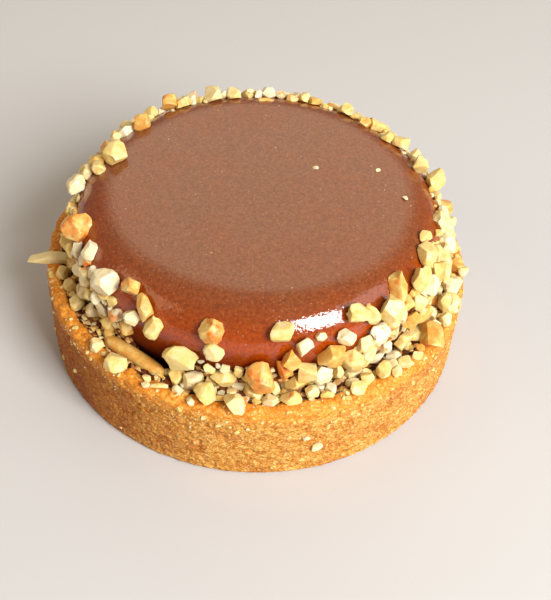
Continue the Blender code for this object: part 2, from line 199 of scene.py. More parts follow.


# %% [markdown]
# ## Shortcrust: the material
#
# Baked shortcrust is flour and sugar held by butter: dry, opaque and matte.
# Close up it is a sand of half-millimetre grains, each a little paler or
# browner than the next, with darker gaps. On top of that come broad patches
# from the oven and a deeper orange rim, because the rim bakes first. The left
# side is painted darker and browner as well, which is painted shade. Voronoi
# cells give each grain its own tone, and noises at the size of a patch do the
# rest. A bump carries the finest grain, which a mesh can't.

# %% The shortcrust material
SHELL_RADIUS = 40.0 * MM
SHELL_HEIGHT = 17.4 * MM
# Widths in mm of a grain, a clump of grains and a patch from the oven
GRAIN, CLUMP, PATCH = 0.45, 1.5, 8.0
# Where a tone begins and is full, in mm: the painted shade on the left side by x, and the orange rim by height
PAINTED_SHADE_SIDE = (-4.0, -30.0)
ORANGE_RIM = (13.8, 16.2)

shortcrust, tree, shader, in_mm = new_material("baked_shortcrust")
axes = add(tree, "ShaderNodeSeparateXYZ", {0: in_mm}).outputs
warp = add(tree, "ShaderNodeTexNoise", {"Vector": in_mm, "Scale": 1 / 0.9, "Detail": 2.0})
warped = add(
    tree, "ShaderNodeVectorMath", {0: warp.outputs["Color"], 1: (0.5,) * 3, 2: in_mm},
    operation="MULTIPLY_ADD",
)
flattened = add(tree, "ShaderNodeVectorMath", {0: warped, 1: (1.0, 1.0, 1.3)}, operation="MULTIPLY")
grains = add(tree, "ShaderNodeTexVoronoi", {"Vector": flattened, "Scale": 1 / GRAIN}, feature="F1")
grain_tone = add(tree, "ShaderNodeSeparateColor", {0: grains.outputs["Color"]})
gap = add(tree, "ShaderNodeMapRange", {0: grains.outputs["Distance"], 1: 0.3, 2: 0.75, 3: 0.0, 4: 0.34})
clumps = add(tree, "ShaderNodeTexNoise", {
    "Vector": flattened, "Scale": 1 / CLUMP, "Detail": 4.0, "Roughness": 0.7,
})
clump = add(tree, "ShaderNodeMapRange", {0: clumps, 1: 0.3, 2: 0.7, 3: 0.08, 4: 0.6})
lightness = add(tree, "ShaderNodeMath", {0: grain_tone, 1: 0.5, 2: clump}, operation="MULTIPLY_ADD")
lit = add(tree, "ShaderNodeMath", {0: lightness, 1: gap}, operation="SUBTRACT")
sand = add(tree, "ShaderNodeValToRGB", {0: lit}, stops=[
    (0.0, "#a8651a"), (0.2, "#c27f2c"), (0.45, "#d49843"), (0.7, "#e2b263"), (0.95, "#f1d592"),
])
patches = add(tree, "ShaderNodeTexNoise", {
    "Vector": in_mm, "Scale": 1 / PATCH, "Detail": 4.0, "Roughness": 0.65,
})
browned = add(tree, "ShaderNodeValToRGB", {0: patches}, stops=[(0.33, "#d79c62"), (0.5, "#fff8ea")])
patched = add(
    tree, "ShaderNodeMix", {0: 0.6, 6: sand, 7: browned}, data_type="RGBA", blend_type="MULTIPLY",
)
# Painted shade: the left side is multiplied darker and browner, more the further it lies towards negative x
painted_shade_side = add(tree, "ShaderNodeMapRange", {
    0: axes[0], 1: PAINTED_SHADE_SIDE[0], 2: PAINTED_SHADE_SIDE[1], 3: 0.0, 4: 1.0,
})
shade_painted = add(
    tree, "ShaderNodeMix", {0: painted_shade_side, 6: patched.outputs[2], 7: linear("#cba545")},
    data_type="RGBA", blend_type="MULTIPLY",
)
edge = add(tree, "ShaderNodeMapRange", {
    0: axes[2], 1: ORANGE_RIM[0], 2: ORANGE_RIM[1], 3: 0.0, 4: 0.85,
})
rim_tone = add(tree, "ShaderNodeValToRGB", {0: lit}, stops=[
    (0.0, "#c26f18"), (0.35, "#d98723"), (0.7, "#e39c3d"), (0.95, "#f4c87e"),
])
rimmed = add(tree, "ShaderNodeMix", {0: edge, 6: shade_painted.outputs[2], 7: rim_tone}, data_type="RGBA")
fine = add(tree, "ShaderNodeTexNoise", {
    "Vector": in_mm, "Scale": 1 / 0.4, "Detail": 2.0, "Roughness": 0.7,
})
rough = add(tree, "ShaderNodeMath", {0: fine, 1: 0.6, 2: lit}, operation="MULTIPLY_ADD")
grit = add(tree, "ShaderNodeMapRange", {0: axes[2], 1: 14.2, 2: 16.4, 3: 1.0, 4: 0.35})
gritty = add(tree, "ShaderNodeMath", {0: rough, 1: grit}, operation="MULTIPLY")
bump = add(tree, "ShaderNodeBump", {"Strength": 0.9, "Distance": 0.22 * MM, "Height": gritty})
fill(shader, {
    "Base Color": rimmed.outputs[2], "Normal": bump, "Roughness": 0.6, "IOR": 1.45,
    "Specular IOR Level": 0.35, "Subsurface Weight": 0.12, "Subsurface Radius": (1.0, 0.5, 0.2),
    "Subsurface Scale": 0.5 * MM,
})
print("shortcrust nodes:", len(tree.nodes))

# %% [markdown]
# ## Shortcrust: the shell
#
# The wall's texture comes from the dough being pressed into a ring: small
# grains, longer along the wall than up it, in rows that slant a little, with
# pits between them and a few broad swells. Displacing a plain turned wall by a
# noise whose space is squeezed in height gives exactly that. Geometry Nodes
# does it, because the relief then has named sizes in millimetres and stays
# real geometry that shows along the outline.

# %% The shell's half section
RIM_ROUND = 1.2 * MM
BASE_ROUND = 0.8 * MM
WALL = 3.1 * MM
FLOOR_THICKNESS = 3.0 * MM
WALL_STEPS = 58
SHELL_SEGMENTS = 1040
inner = SHELL_RADIUS - WALL
wall_top = SHELL_HEIGHT - RIM_ROUND
shell_profile = (
    [(0.0, 0.0), (SHELL_RADIUS / 2, 0.0)]
    + arc((SHELL_RADIUS - BASE_ROUND, BASE_ROUND), (BASE_ROUND,) * 2, -90, 0, 4)
    + line((SHELL_RADIUS, BASE_ROUND), (SHELL_RADIUS, wall_top), WALL_STEPS)
    + arc((SHELL_RADIUS - RIM_ROUND, wall_top), (RIM_ROUND,) * 2, 0, 90, 6)[1:]
    + line((SHELL_RADIUS - RIM_ROUND, SHELL_HEIGHT), (inner + RIM_ROUND, SHELL_HEIGHT), 2)
    + arc((inner + RIM_ROUND, wall_top), (RIM_ROUND,) * 2, 90, 180, 5)[1:]
    + [(inner, FLOOR_THICKNESS), (0.0, FLOOR_THICKNESS)]
)
shell = turned("shortcrust_shell", shell_profile, SHELL_SEGMENTS)
print("shell grid:", len(shell.data.vertices), "points")

# %% The baked relief, as Geometry Nodes
relief, sizes = geometry_tree("baked_relief", {
    "Swell": "Float", "Swell spacing": "Float", "Grain height": "Float", "Grain length": "Float",
    "Grain rise": "Float", "Slant": "Float", "Pit depth": "Float", "Pit spacing": "Float",
    "Rim unevenness": "Float",
})
place = add(relief, "GeometryNodeInputPosition")
axes = add(relief, "ShaderNodeSeparateXYZ", {0: place}).outputs

# Grains, lower near the rim, in rows that slant because their space is twisted with height
slant = add(relief, "ShaderNodeMath", {0: axes[2], 1: sizes["Slant"]}, operation="MULTIPLY")
twisted = add(relief, "ShaderNodeVectorRotate", {"Vector": place, "Angle": slant}, rotation_type="Z_AXIS")
stretch = add(relief, "ShaderNodeCombineXYZ", {
    0: sizes["Grain length"], 1: sizes["Grain length"], 2: sizes["Grain rise"],
})
in_grains = add(relief, "ShaderNodeVectorMath", {0: twisted, 1: stretch}, operation="DIVIDE")
grains = add(relief, "ShaderNodeTexNoise", {
    "Vector": in_grains, "Scale": 1.0, "Detail": 2.5, "Roughness": 0.55,
})
grain_lift = add(relief, "ShaderNodeMapRange", {0: grains, 1: 0.3, 2: 0.7, 3: -0.5, 4: 0.5})
grain_height = add(relief, "ShaderNodeMath", {0: grain_lift, 1: sizes["Grain height"]}, operation="MULTIPLY")
smooth_rim = add(relief, "ShaderNodeMapRange", {0: axes[2], 1: 14.6 * MM, 2: 16.4 * MM, 3: 1.0, 4: 0.22})
grain_height = add(relief, "ShaderNodeMath", {0: grain_height, 1: smooth_rim}, operation="MULTIPLY")

# Broad swells
per_swell = add(relief, "ShaderNodeMath", {0: 1.0, 1: sizes["Swell spacing"]}, operation="DIVIDE")
in_swells = add(relief, "ShaderNodeVectorMath", {0: place, "Scale": per_swell}, operation="SCALE")
swells = add(relief, "ShaderNodeTexNoise", {"Vector": in_swells, "Scale": 1.0, "Detail": 2.0})
swell_lift = add(relief, "ShaderNodeMapRange", {0: swells, 1: 0.25, 2: 0.75, 3: -1.0, 4: 1.0})
swell_height = add(relief, "ShaderNodeMath", {0: swell_lift, 1: sizes["Swell"]}, operation="MULTIPLY")

# Pits
per_pit = add(relief, "ShaderNodeMath", {0: 1.0, 1: sizes["Pit spacing"]}, operation="DIVIDE")
in_pits = add(relief, "ShaderNodeVectorMath", {0: place, "Scale": per_pit}, operation="SCALE")
cells = add(relief, "ShaderNodeTexVoronoi", {"Vector": in_pits, "Scale": 1.0}, feature="F1")
pit = add(
    relief, "ShaderNodeMapRange", {0: cells.outputs["Distance"], 1: 0.12, 2: 0.30, 3: -1.0, 4: 0.0},
    interpolation_type="SMOOTHSTEP",
)
pit_depth = add(relief, "ShaderNodeMath", {0: pit, 1: sizes["Pit depth"]}, operation="MULTIPLY")

# The uneven rim
rim_noise = add(relief, "ShaderNodeTexNoise", {
    "Vector": in_swells, "Scale": 3.1, "Detail": 3.0, "Roughness": 0.6,
})
rim_lift = add(relief, "ShaderNodeMapRange", {0: rim_noise, 1: 0.25, 2: 0.75, 3: -1.3, 4: 0.7})
at_rim = add(relief, "ShaderNodeMapRange", {0: axes[2], 1: 14.8 * MM, 2: 17.0 * MM, 3: 0.0, 4: 1.0})
rim_part = add(relief, "ShaderNodeMath", {0: rim_lift, 1: at_rim}, operation="MULTIPLY")
rim_height = add(relief, "ShaderNodeMath", {0: rim_part, 1: sizes["Rim unevenness"]}, operation="MULTIPLY")

# All four together, along the normal, and none at the base, which stays flat
first = add(relief, "ShaderNodeMath", {0: grain_height, 1: swell_height}, operation="ADD")
second = add(relief, "ShaderNodeMath", {0: pit_depth, 1: rim_height}, operation="ADD")
total = add(relief, "ShaderNodeMath", {0: first, 1: second}, operation="ADD")
off_base = add(relief, "ShaderNodeMapRange", {0: axes[2], 1: 0.05 * MM, 2: 0.9 * MM, 3: 0.0, 4: 1.0})
masked = add(relief, "ShaderNodeMath", {0: total, 1: off_base}, operation="MULTIPLY")
normal = add(relief, "GeometryNodeInputNormal")
offset = add(relief, "ShaderNodeVectorMath", {0: normal, "Scale": masked}, operation="SCALE")
moved = add(relief, "GeometryNodeSetPosition", {"Geometry": sizes["Geometry"], "Offset": offset})
end_tree(relief, moved, shortcrust)

grow(shell, relief, {
    "Swell": 0.14 * MM, "Swell spacing": 7.0 * MM, "Grain height": 0.42 * MM, "Grain length": 0.8 * MM,
    "Grain rise": 0.55 * MM, "Slant": 10.0, "Pit depth": 0.3 * MM, "Pit spacing": 2.9 * MM,
    "Rim unevenness": 0.45 * MM,
})
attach(shell, "root")
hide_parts("crust")
print("shell after relief:", len(shell.data.polygons), "faces")

# %% [markdown]
# ## Dark caramel filling
#
# The filling is caramel poured warm into the baked shell. It set level, a
# little under the rim, and crept up the shell where it wetted it. Only a thin
# groove of it shows between the rim and the dome's foot, so it needs no more
# than a turned disc with that creep at its edge, and a dark, sticky finish.

# %% The filling
CREEP, CREEP_RISE = 2.0 * MM, 0.5 * MM
FILLING_SEGMENTS = 128

caramel, tree, shader, in_mm = new_material("dark_caramel_filling")
stirred = add(tree, "ShaderNodeTexNoise", {"Vector": in_mm, "Scale": 1 / 3, "Detail": 4.0, "Roughness": 0.6})
browns = add(tree, "ShaderNodeValToRGB", {0: stirred}, stops=[(0.35, "#3b1a0b"), (0.65, "#6a3415")])
bump = add(tree, "ShaderNodeBump", {"Strength": 0.5, "Distance": 0.3 * MM, "Height": stirred})
fill(shader, {"Base Color": browns, "Normal": bump, "Roughness": 0.3, "IOR": 1.48})

low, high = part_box("filling")
edge = high.x
level = high.z - CREEP_RISE
filling_profile = [(0.0, low.z), (edge - 0.5 * MM, low.z), (edge, low.z + 0.5 * MM), (edge, high.z)]
filling_profile += arc((edge - CREEP, high.z), (CREEP, CREEP_RISE), 0, -90, 8)[1:] + [(0.0, level)]
filling = turned("caramel_filling", filling_profile, FILLING_SEGMENTS)
filling.data.materials.append(caramel)
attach(filling, "root")
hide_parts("filling")
print("filling level:", round(level / MM, 1), "mm")

# %% [markdown]
# ## Caramel glaze: the material
#
# A mirror glaze is sugar, gelatine and chocolate poured over the dome. It runs
# thin over the shoulder, where light passes through and glows orange, and
# gathers thick and dark at the foot. So the colour follows the height, with a
# slow noise that breaks the bands up. It is wet-looking: a smooth coat over a
# slightly rougher body, which covers the top and the shoulder and fades out
# towards the foot. Fine pale specks of nut dust lie on the flat top.

# %% The glaze material
# Spacing and reach of the specks in mm, how rare they are, and their colour
SPECKS = ((0.5, 0.3, 0.3, "#b9855c"), (2.3, 0.09, 0.5, "#ecd4b8"))
# Heights in mm from the dark foot to the top, and over which the coat comes in
GLAZE_HEIGHTS = (15.0, 33.0)
COAT_HEIGHTS = (22.5, 26.0)

glaze, tree, shader, in_mm = new_material("caramel_glaze")
drift = add(tree, "ShaderNodeTexNoise", {"Vector": in_mm, "Scale": 1 / 9, "Detail": 3.0})
height = add(tree, "ShaderNodeSeparateXYZ", {0: in_mm}).outputs[2]
wander = add(tree, "ShaderNodeMath", {0: drift, 1: 2.4, 2: -1.2}, operation="MULTIPLY_ADD")
level = add(tree, "ShaderNodeMath", {0: height, 1: wander}, operation="ADD")
share = add(tree, "ShaderNodeMapRange", {0: level, 1: GLAZE_HEIGHTS[0], 2: GLAZE_HEIGHTS[1]})
specked = add(tree, "ShaderNodeValToRGB", {0: share}, stops=[
    (0.0, "#1e0a04"), (0.2, "#441504"), (0.42, "#7c2800"), (0.66, "#a84200"), (0.86, "#903e08"),
    (1.0, "#824a28"),
])
wet = add(tree, "ShaderNodeMapRange", {0: height, 1: COAT_HEIGHTS[0], 2: COAT_HEIGHTS[1], 3: 0.0, 4: 0.95})
on_top = add(tree, "ShaderNodeMapRange", {0: height, 1: 25.0, 2: 32.0, 3: 0.08, 4: 0.75})
for spacing, reach, fewest, colour in SPECKS:
    cells = add(tree, "ShaderNodeTexVoronoi", {"Vector": in_mm, "Scale": 1 / spacing}, feature="F1")
    speck = add(tree, "ShaderNodeMapRange", {
        0: cells.outputs["Distance"], 1: reach * 0.4, 2: reach, 3: 0.9, 4: 0.0,
    })
    picked = add(tree, "ShaderNodeSeparateColor", {0: cells.outputs["Color"]})
    rare = add(tree, "ShaderNodeMapRange", {0: picked, 1: fewest, 2: 1.0})
    speck_here = add(tree, "ShaderNodeMath", {0: speck, 1: rare}, operation="MULTIPLY")
    speck_share = add(tree, "ShaderNodeMath", {0: speck_here, 1: on_top}, operation="MULTIPLY")
    mixed = add(tree, "ShaderNodeMix", {0: speck_share, 6: specked, 7: linear(colour)}, data_type="RGBA")
    specked = mixed.outputs[2]
cloudy = add(tree, "ShaderNodeTexNoise", {"Vector": in_mm, "Scale": 1 / 0.55, "Detail": 3.0, "Roughness": 0.7})
clouding = add(tree, "ShaderNodeValToRGB", {0: cloudy}, stops=[(0.3, "#b4a698"), (0.62, "#ffffff")])
clouded = add(
    tree, "ShaderNodeMix", {0: 0.8, 6: specked, 7: clouding}, data_type="RGBA", blend_type="MULTIPLY",
)
skin = add(tree, "ShaderNodeTexNoise", {"Vector": in_mm, "Scale": 1 / 0.6, "Detail": 1.0, "Roughness": 0.6})
bump = add(tree, "ShaderNodeBump", {"Strength": 0.9, "Distance": 0.055 * MM, "Height": skin})
fill(shader, {
    "Base Color": clouded.outputs[2], "Normal": bump, "Roughness": 0.5, "IOR": 1.45,
    "Specular IOR Level": 0.06, "Subsurface Weight": 0.25, "Subsurface Radius": (1.0, 0.35, 0.1),
    "Subsurface Scale": 1.6 * MM, "Coat Weight": wet, "Coat Roughness": 0.06, "Coat IOR": 1.6,
    "Coat Normal": bump,
})
print("glaze nodes:", len(tree.nodes))

# %% [markdown]
# ## Caramel glaze: the dome
#
# The dome was set in a flat pebble mould, so its top is nearly level and its
# shoulder one fast curve: a superellipse arc, not a circle's. The foot tucks
# in under its widest part. The turned grid is fine enough for a clean highlight.

# %% The dome
DOME_RADIUS = 34.0 * MM
DOME_FOOT = 31.6 * MM
DOME_TOP = 32.9 * MM
DOME_CROWN = 0.4 * MM
SHOULDER = (9.2 * MM, 8.0 * MM)
SHOULDER_POWER = 2.15
FILLING_LEVEL = 15.3 * MM
DOME_SEGMENTS = 256
DOME_STEPS, CROWN_STEPS = 14, 12


def dome_side(steps):
    """The dome's side in half section, from its foot to the flat top's edge."""
    widest = DOME_TOP - DOME_CROWN - SHOULDER[1]
    centre = (DOME_RADIUS - SHOULDER[0], widest)
    foot = FILLING_LEVEL + 0.3 * MM
    tuck = DOME_RADIUS - DOME_FOOT
    side = arc((DOME_RADIUS - tuck, widest), (tuck, widest - foot), -90, 0, steps)
    return side + arc(centre, SHOULDER, 0, 90, 2 * steps, SHOULDER_POWER)[1:]


side = dome_side(DOME_STEPS)
flat_radius, flat_height = side[-1]
crown = [
    (flat_radius * share, flat_height + DOME_CROWN * (1 - share * share))
    for share in np.linspace(1, 0, CROWN_STEPS + 1)[1:]
]
dome = turned("caramel_glazed_dome", [(0.0, side[0][1])] + side + crown, DOME_SEGMENTS)
dome.data.materials.append(glaze)
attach(dome, "root")
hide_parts("glazed_dome")
print("dome top:", round((flat_height + DOME_CROWN) / MM, 1), "mm")

# %% [markdown]
# ## The bed that the nuts lie on
#
# Every nut rests on the same line in half section: in over the rim, across the
# groove and up the dome. A distance along that line, with an azimuth, says
# where a nut lies, so 0 is the rim's outer edge, 20 mm is on the shoulder, and
# what is below 0 is down the wall.
# Azimuths are in degrees, with 270 towards the viewer and 0 on the right.

# %% The bed line, and how far outside the solids a point is
groove_level = SHELL_HEIGHT - 1.05 * MM
BED_CORNER = 0.6 * MM
BED_STEPS = 6
BED = [
    (SHELL_RADIUS, 0.0), (SHELL_RADIUS, SHELL_HEIGHT - BED_CORNER),
    (SHELL_RADIUS - BED_CORNER, SHELL_HEIGHT), (inner + BED_CORNER, SHELL_HEIGHT),
    (inner - BED_CORNER, groove_level), (DOME_FOOT + 1.2 * MM, groove_level),
] + [point for point in dome_side(BED_STEPS) if point[1] > groove_level + 0.6 * MM] + [(0.0, DOME_TOP)]
BED_LENGTHS = np.concatenate([[0.0], np.cumsum(np.linalg.norm(np.diff(BED, axis=0), axis=1))])
BED_LENGTHS -= BED_LENGTHS[2]
rim_line = [point for point in shell_profile if point[1] > BASE_ROUND and point[0] > inner - 0.3 * MM]
OUTLINE = np.array(
    [point for point in rim_line if point[1] > groove_level or point[0] > inner + 0.3 * MM]
    + [(inner, groove_level)]
    + [point for point in dome_side(BED_STEPS) if point[1] > groove_level] + [(0.0, DOME_TOP)]
)


def bed_point(up):
    """(radius, height) and outward normal of the bed, a distance up from the rim's outer edge."""
    reach = 1.2 * MM
    below = up - reach if up < 0 else max(up - reach, 0.0)
    distances = np.array([below, up, up + reach])
    before, here, after = np.stack(
        [np.interp(distances, BED_LENGTHS, axis) for axis in np.transpose(BED)], axis=1,
    )
    along = (after - before) / np.linalg.norm(after - before)
    return here, np.array([along[1], -along[0]])


def clearance(points):
    """Each point's signed distance from the tart, negative inside, and its way out."""
    section = np.stack([np.hypot(points[:, 0], points[:, 1]), points[:, 2]], axis=1)
    starts, ends = OUTLINE[:-1], OUTLINE[1:]
    steps = ends - starts
    offsets = section[:, None] - starts
    share = np.clip((offsets * steps).sum(axis=2) / (steps * steps).sum(axis=1), 0, 1)
    away = offsets - share[..., None] * steps
    distances = np.linalg.norm(away, axis=2)
    nearest = distances.argmin(axis=1)
    rows = np.arange(len(section))
    level = section[:, None, 1]
    spans = (starts[:, 1] > level) != (ends[:, 1] > level)
    rise = np.where(steps[:, 1] == 0, 1.0, steps[:, 1])
    crossing = starts[:, 0] + steps[:, 0] * (level - starts[:, 1]) / rise
    inside = (spans & (section[:, None, 0] < crossing)).sum(axis=1) % 2 == 1
    signed = np.where(inside, -1.0, 1.0) * distances[rows, nearest]
    out = away[rows, nearest] / np.where(signed == 0, 1.0, signed)[:, None]
    reach = np.maximum(section[:, 0], 1e-9)
    out = np.stack([out[:, 0] * points[:, 0] / reach, out[:, 0] * points[:, 1] / reach, out[:, 1]], axis=1)
    return signed, out


print("bed length:", round(BED_LENGTHS[-1] / MM, 1), "mm, from the rim's outer edge to the middle of the top")

# %% [markdown]
# ## A chopped nut
#
# A nut is a rounded kernel that a knife cracks along flat planes. So each
# shape starts as a ball, loses what lies outside a few planes, and takes the
# convex hull of what is left. Crisp edges are what tells a chopped nut from a
# pebble, so the large ones only get a narrow bevel, and the small ones none.

# %% Shapes of chopped nut, as meshes of size 1
# Length, width and thickness as shares of the size, the cracks that lie along an axis, the
# number of cracks that run any way, and how blunt the ends are
SHAPES = {
    "chunk": ((1.0, 0.86, 0.74), (), 7, 2.0),
    "wedge": ((1.0, 0.78, 0.54), ((0, 0, -1),), 6, 2.0),
    "slice": ((1.0, 0.76, 0.32), ((0, 0, -1), (0, 0, 1)), 5, 2.0),
    "sliver": ((1.0, 0.22, 0.18), ((0, 1, 0), (0, -1, 0), (0, 0, -1), (-0.9, 0.1, 0.5)), 0, 4.0),
    "shard": ((1.0, 0.50, 0.40), ((0, 0, -1), (0, 1, 0.3)), 4, 2.0),
    "baton": ((1.0, 0.21, 0.18), ((0, 0.3, -1),), 0, 4.5),
    "round": ((1.0, 0.96, 0.60), ((0, 0, -1),), 3, 2.0),
}
# How many hollows a split leaves in a shape's side, one of these drawn for each nut
BITES = {
    "chunk": (0, 1, 2), "wedge": (1, 2, 2), "slice": (2, 3), "shard": (1, 2), "sliver": (0,),
    "baton": (0,), "round": (1,),
}
VARIANTS = 8
# Of a nut of size 1: how close its points may be, and the width of the worn edge
FINE_MERGE, SMALL_MERGE = 0.045, 0.12
WORN_EDGE = 0.045


def unit_vector(rng):
    """A direction drawn evenly over the sphere."""
    height = rng.uniform(-1, 1)
    azimuth = rng.uniform(0, math.tau)
    reach = math.sqrt(1 - height * height)
    return Vector((reach * math.cos(azimuth), reach * math.sin(azimuth), height))


def spread_directions(given, count, rng):
    """The directions given, and count more that keep apart from them and from each other."""
    directions = [Vector(direction) for direction in given]
    while len(directions) < len(given) + count:
        directions.append(max(
            (unit_vector(rng) for _ in range(6)),
            key=lambda way: min([way.angle(other) for other in directions], default=0.0),
        ))
    return directions


def bite(bm, rng):
    """Presses a hollow into one side, as where a nut splits along a curve."""
    heading = rng.uniform(0, math.tau)
    way = Vector((math.cos(heading), math.sin(heading), rng.uniform(-0.3, 0.5))).normalized()
    radius = rng.uniform(0.2, 0.34)
    reach = max(vert.co.dot(way) for vert in bm.verts)
    farthest = max(bm.verts, key=lambda vert: vert.co.dot(way)).co
    centre = farthest * 0.6 + way * (reach * 0.4 + radius * rng.uniform(0.35, 0.6))
    for vert in bm.verts:
        offset = vert.co - centre
        along = offset.dot(way)
        off_axis = (offset - way * along).length
        if off_axis < radius:
            floor = -math.sqrt(radius * radius - off_axis * off_axis)
            if along > floor:
                vert.co += way * (floor - along)


def chopped_nut(name, shape, fine, rng):
    """A chopped nut of size 1. A fine one has worn edges and a slightly lumpy flesh."""
    proportions, along_axes, cracks, bluntness = SHAPES[shape]
    bm = bmesh.new()
    ball = 3 if bluntness > 2 and fine else 2
    bmesh.ops.create_icosphere(bm, subdivisions=ball, radius=0.5)
    for vert in bm.verts:
        bulk = abs(vert.co.x * 2) ** bluntness + (2 * math.hypot(vert.co.y, vert.co.z)) ** bluntness
        vert.co *= bulk ** (-1 / bluntness)
    for number, direction in enumerate(spread_directions(along_axes, cracks, rng)):
        distance = 0.24 if number < len(along_axes) else rng.uniform(0.26, 0.38)
        crack = bmesh.ops.bisect_plane(
            bm, geom=bm.verts[:] + bm.edges[:] + bm.faces[:],
            plane_co=direction.normalized() * distance, plane_no=direction, clear_outer=True,
        )
        rim = [part for part in crack["geom_cut"] if isinstance(part, bmesh.types.BMEdge)]
        if rim:
            bmesh.ops.edgeloop_fill(bm, edges=rim)
    bmesh.ops.remove_doubles(bm, verts=bm.verts, dist=FINE_MERGE if fine else SMALL_MERGE)
    points = np.array([vert.co for vert in bm.verts])
    low, high = points.min(axis=0), points.max(axis=0)
    points = (points - (low + high) / 2) / (high - low) * np.array(proportions)
    bm.clear()
    for point in points:
        bm.verts.new(point)
    hull = bmesh.ops.convex_hull(bm, input=bm.verts)
    inside = [part for part in hull["geom_interior"] if isinstance(part, bmesh.types.BMVert)]
    bmesh.ops.delete(bm, geom=inside, context="VERTS")
    if fine:
        bmesh.ops.dissolve_limit(bm, angle_limit=math.radians(4), verts=bm.verts, edges=bm.edges)
        sharp = [edge for edge in bm.edges if edge.calc_face_angle(0.0) > math.radians(24)]
        bmesh.ops.bevel(
            bm, geom=sharp, offset=WORN_EDGE * min(1.0, proportions[2] * 1.8), segments=2,
            affect="EDGES", profile=0.5, clamp_overlap=True,
        )
        bmesh.ops.triangulate(bm, faces=bm.faces)
        long_edges = [edge for edge in bm.edges if edge.calc_length() > 0.15]
        bmesh.ops.subdivide_edges(bm, edges=long_edges, cuts=2, use_grid_fill=True)
        bmesh.ops.triangulate(bm, faces=bm.faces)
        for _ in range(rng.choice(BITES[shape])):
            bite(bm, rng)
        bm.normal_update()
        seed = Vector([rng.uniform(-9, 9) for _ in range(3)])
        for vert in bm.verts:
            lump = noise.noise(vert.co * 4 + seed) + 0.6 * noise.noise(vert.co * 11 + seed)
            vert.co += vert.normal * 0.05 * proportions[2] * lump
    bmesh.ops.recalc_face_normals(bm, faces=bm.faces)
    mesh = bpy.data.meshes.new(name)
    bm.to_mesh(mesh)
    bm.free()
    mesh.shade_smooth()
    mesh.set_sharp_from_angle(angle=math.radians(40 if fine else 24))
    return mesh


library = {}
for number, shape in enumerate(SHAPES):
    for fine in (True, False):
        kind = f"{shape}_{'large' if fine else 'small'}"
        library[shape, fine] = [
            chopped_nut(f"{kind}_{variant:02d}", shape, fine, random.Random(100 * number + variant))
            for variant in range(VARIANTS)
        ]
        print(kind, [len(mesh.polygons) for mesh in library[shape, fine]], "faces")

# %% [markdown]
# ## Where the nuts lie
#
# The nuts that stand out are placed one by one, as they lie on the real tart.
# The rest were tipped on and pressed in, so they are a seeded scatter from
# large to small that fills the gaps, up to the garland's uneven upper edge.
# Each is pushed out of the tart along the shortest way until it just touches,
# sunk about 0.1 mm because the glaze was soft.

